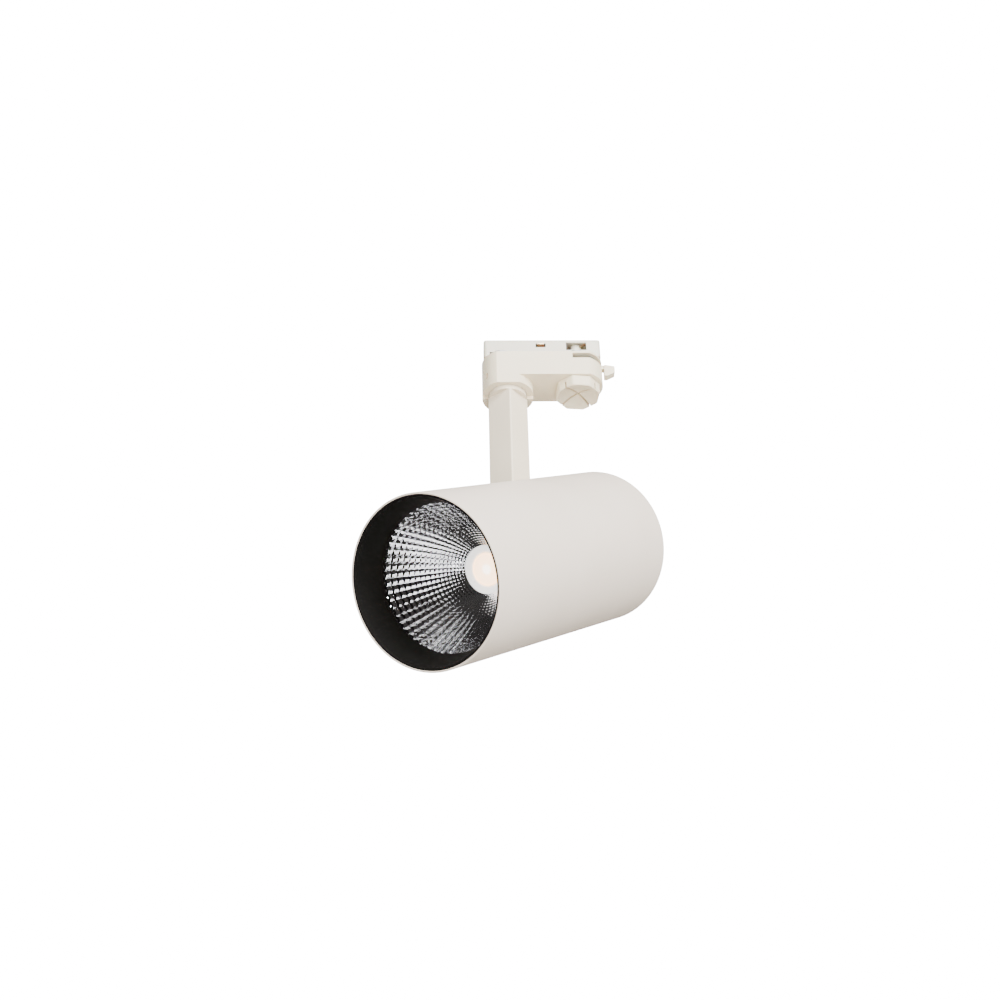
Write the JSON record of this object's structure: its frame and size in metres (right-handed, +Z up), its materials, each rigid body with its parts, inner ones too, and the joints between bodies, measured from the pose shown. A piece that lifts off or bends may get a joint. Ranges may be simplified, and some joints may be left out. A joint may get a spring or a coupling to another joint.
{
  "type": "track spotlight",
  "caption": "Tubular spotlight on a square arm under a three-circuit rail adapter; the head pans and tilts, a lever locks it in the rail and a knob picks the circuit.",
  "frame": {"origin": "on the pan axis, in the plane where the adapter's collar meets the rail's lower face", "axes": "+X along the rail towards the locking lever, -Y the front, +Z up into the rail"},
  "size_m": [0.2328, 0.2486, 0.3093],
  "materials": {
    "housing_paint": "warm white powder coat, fine texture, satin",
    "arm_paint": "warm white powder coat, satin",
    "adapter_plastic": "warm white polycarbonate, fine spark-eroded texture",
    "insert_plastic": "natural white polycarbonate",
    "black_paint": "matt black powder coat",
    "reflector_mirror": "vacuum-metallised facets, bright",
    "phosphor": "pale cream phosphor gel",
    "board_alumina": "white alumina board",
    "holder_plastic": "white heat-resistant plastic",
    "thermal_pad": "grey thermal pad",
    "aluminium": "bare extruded aluminium",
    "zinc": "die-cast zinc, as cast",
    "steel": "zinc-plated steel",
    "spring_steel": "spring steel strip",
    "brass": "bright brass",
    "copper": "tinned copper alloy strip",
    "pcb": "green epoxy laminate",
    "component": "black and yellow component bodies",
    "driver_plastic": "dark grey ABS",
    "insulation": "white silicone insulation",
    "bush_plastic": "acetal"
  },
  "bodies": {
    "adapter": {"adapter_shell": "adapter_plastic", "track_insert": "insert_plastic", "insert_cover": "insert_plastic", "earth_contacts": "copper", "neutral_contact": "copper", "terminal_block": "insert_plastic", "terminal_screws": "brass", "adapter_screws": "steel", "wave_washer": "spring_steel", "detent_spring": "spring_steel", "pan_lock_screw": "steel", "adapter_wires": "insulation"},
    "selector": {"selector_knob": "adapter_plastic", "selector_spindle": "insert_plastic", "phase_contacts": "copper"},
    "lever": {"lock_lever": "adapter_plastic", "lock_cam": "zinc"},
    "far_lock": {"far_cam": "zinc"},
    "link": {"lock_link": "steel"},
    "arm": {"swivel_hub": "arm_paint", "stop_washer": "steel", "swivel_nut": "steel", "arm_tube": "arm_paint", "pivot_bushes": "bush_plastic", "friction_washers": "bush_plastic", "arm_lead": "insulation"},
    "head": {"housing": "housing_paint", "anti_glare_ring": "black_paint", "reflector": "reflector_mirror", "thermal_pad": "thermal_pad", "cob_board": "board_alumina", "led_disc": "phosphor", "cob_holder": "holder_plastic", "holder_screws": "steel", "heat_sink": "aluminium", "pivot_bracket": "steel", "bracket_screws": "steel", "pivot_bolt": "steel", "spring_washer": "spring_steel", "pivot_nut": "steel", "slot_liner": "black_paint", "driver_case": "driver_plastic", "driver_lid": "driver_plastic", "driver_board": "pcb", "driver_components": "component", "driver_screws": "steel", "rear_cover": "housing_paint", "rear_cover_screws": "steel", "tie_rods": "steel", "housing_screws": "steel", "led_lead": "insulation", "supply_lead": "insulation"}
  },
  "joints": [
    {"name": "selector_turn", "type": "hinge", "parent": "adapter", "child": "selector", "pos_m": [0.0553, 0, -0.0226], "axis": [0, 0, 1], "range_deg": [0, 135]},
    {"name": "lever_turn", "type": "hinge", "parent": "adapter", "child": "lever", "pos_m": [0.0553, 0, -0.004], "axis": [0, 0, -1], "range_deg": [0, 90]},
    {"name": "far_cam_turn", "type": "hinge", "parent": "adapter", "child": "far_lock", "pos_m": [-0.005, 0, 0.0042], "axis": [0, 0, -1], "range_deg": [0, 90]},
    {"name": "link_turn", "type": "hinge", "parent": "lever", "child": "link", "pos_m": [0.0505, 0, 0.0069], "axis": [0, 0, -1], "range_deg": [-90, 0]},
    {"name": "pan_turn", "type": "hinge", "parent": "adapter", "child": "arm", "pos_m": [0, 0, -0.0264], "axis": [0, 0, 1], "range_deg": [-130, 210]},
    {"name": "head_tilt", "type": "hinge", "parent": "arm", "child": "head", "pos_m": [0, 0, -0.1824], "axis": [0.766, -0.6428, 0], "range_deg": [-30.4, 59.6]}
  ],
  "couplings": [
    {"joint": "far_cam_turn", "follows": "lever_turn", "ratio": 1},
    {"joint": "link_turn", "follows": "lever_turn", "ratio": -1}
  ]
}
